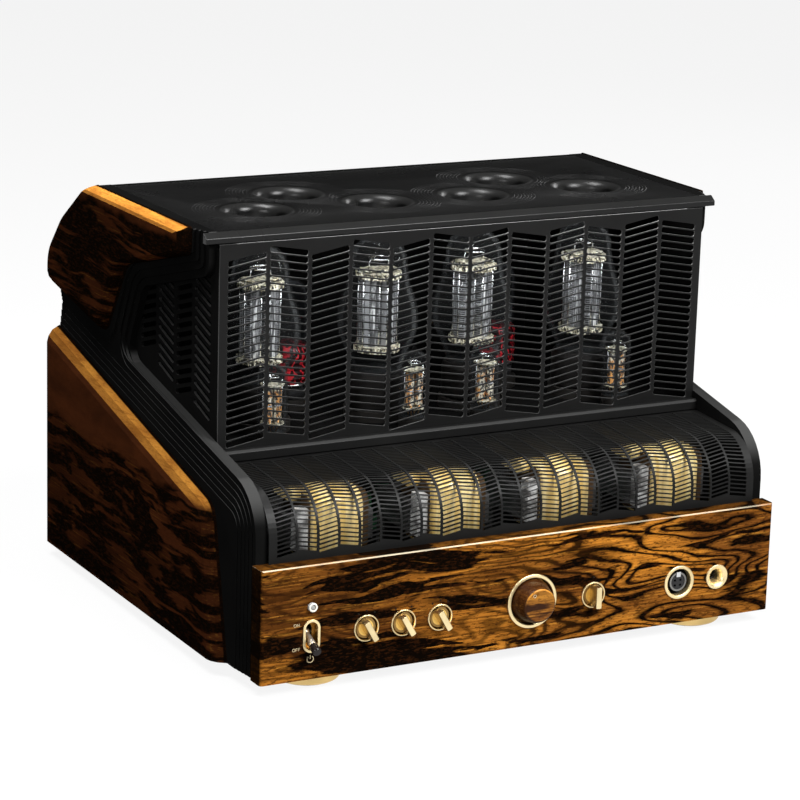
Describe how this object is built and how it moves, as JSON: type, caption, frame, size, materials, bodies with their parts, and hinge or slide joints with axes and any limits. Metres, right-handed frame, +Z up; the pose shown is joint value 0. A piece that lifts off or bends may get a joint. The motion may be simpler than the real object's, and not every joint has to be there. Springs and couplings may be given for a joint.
{
  "type": "tube headphone amplifier",
  "caption": "Full-size valve headphone amplifier with a wooden front and side blocks, slotted black grilles over the valves, rotary controls, a power toggle and headphone sockets.",
  "frame": {"origin": "floor level under the middle of the bounding box", "axes": "+X to the right seen from the front, +Y to the back, +Z up; the front panel faces -Y"},
  "size_m": [0.45, 0.3866, 0.314],
  "materials": {
    "wood": "gloss",
    "black_metal": "matt",
    "gold": "polished",
    "steel": "satin",
    "black_plastic": "matt",
    "glass": "clear",
    "red": "gloss",
    "white": "gloss",
    "ceramic": "matt",
    "coil": "satin",
    "board": "matt",
    "pad": "matt"
  },
  "bodies": {
    "chassis": {"front_panel": "wood", "lower_wood_left": "wood", "lower_wood_right": "wood", "upper_wood_left": "wood", "upper_wood_right": "wood", "front_subpanel": "black_metal", "side_plate_left": "black_metal", "side_plate_right": "black_metal", "side_vent_left": "black_metal", "side_vent_right": "black_metal", "top_plate": "black_metal", "upper_grille": "black_metal", "ledge_bar": "black_metal", "curved_grille": "black_metal", "rear_cover": "black_metal", "rear_panel": "black_metal", "base_plate": "black_metal", "tube_deck": "black_metal", "feet": "gold", "volume_bezel": "gold", "selector_bezels": "gold", "toggle_bezel": "gold", "xlr_bezel": "gold", "jack_bezel": "gold", "line_inputs": "gold", "deck_posts": "steel", "output_cores": "steel", "xlr_ring": "steel", "panel_screws": "steel", "power_tube_cores": "steel", "small_tube_cores": "steel", "toggle_switch": "black_plastic", "xlr_socket": "black_plastic", "jack_socket": "black_plastic", "selector_switches": "black_plastic", "volume_pot": "black_plastic", "power_inlet": "black_plastic", "power_tube_bases": "black_plastic", "filter_capacitors": "black_plastic", "power_transformer": "black_plastic", "side_screen_left": "black_plastic", "side_screen_right": "black_plastic", "power_tube_bulbs": "glass", "small_tube_bulbs": "glass", "driver_tube_bulbs": "glass", "driver_tube_bases": "red", "status_lamp": "white", "tube_sockets": "ceramic", "output_coils": "coil", "amplifier_board": "board", "foot_pads": "pad"},
    "volume_control": {"volume_knob": "wood", "volume_shaft": "steel"},
    "selector_1": {"selector_knob_1": "gold"},
    "selector_2": {"selector_knob_2": "gold"},
    "selector_3": {"selector_knob_3": "gold"},
    "balance_control": {"balance_knob": "gold"},
    "toggle_lever": {"power_toggle": "steel", "toggle_tip": "black_plastic"},
    "socket_latch": {"xlr_latch": "steel"}
  },
  "joints": [
    {"name": "volume_turn", "type": "hinge", "parent": "chassis", "child": "volume_control", "pos_m": [0.0044, -0.18075, 0.0442], "axis": [0, 1, 0], "range_deg": [-117, 183]},
    {"name": "selector_1_turn", "type": "hinge", "parent": "chassis", "child": "selector_1", "pos_m": [-0.1318, -0.18075, 0.0422], "axis": [0, 1, 0], "range_deg": [0, 60]},
    {"name": "selector_2_turn", "type": "hinge", "parent": "chassis", "child": "selector_2", "pos_m": [-0.102, -0.18075, 0.0422], "axis": [0, 1, 0], "range_deg": [0, 60]},
    {"name": "selector_3_turn", "type": "hinge", "parent": "chassis", "child": "selector_3", "pos_m": [-0.0722, -0.18075, 0.0422], "axis": [0, 1, 0], "range_deg": [0, 60]},
    {"name": "balance_turn", "type": "hinge", "parent": "chassis", "child": "balance_control", "pos_m": [0.0569, -0.18075, 0.0422], "axis": [0, 1, 0], "range_deg": [-150, 150]},
    {"name": "toggle_tilt", "type": "hinge", "parent": "chassis", "child": "toggle_lever", "pos_m": [-0.1753, -0.17075, 0.0422], "axis": [-1, 0, 0], "range_deg": [0, 50]},
    {"name": "latch_press", "type": "slide", "parent": "chassis", "child": "socket_latch", "axis": [0, 1, 0], "range_m": [0, 0.0015]}
  ]
}
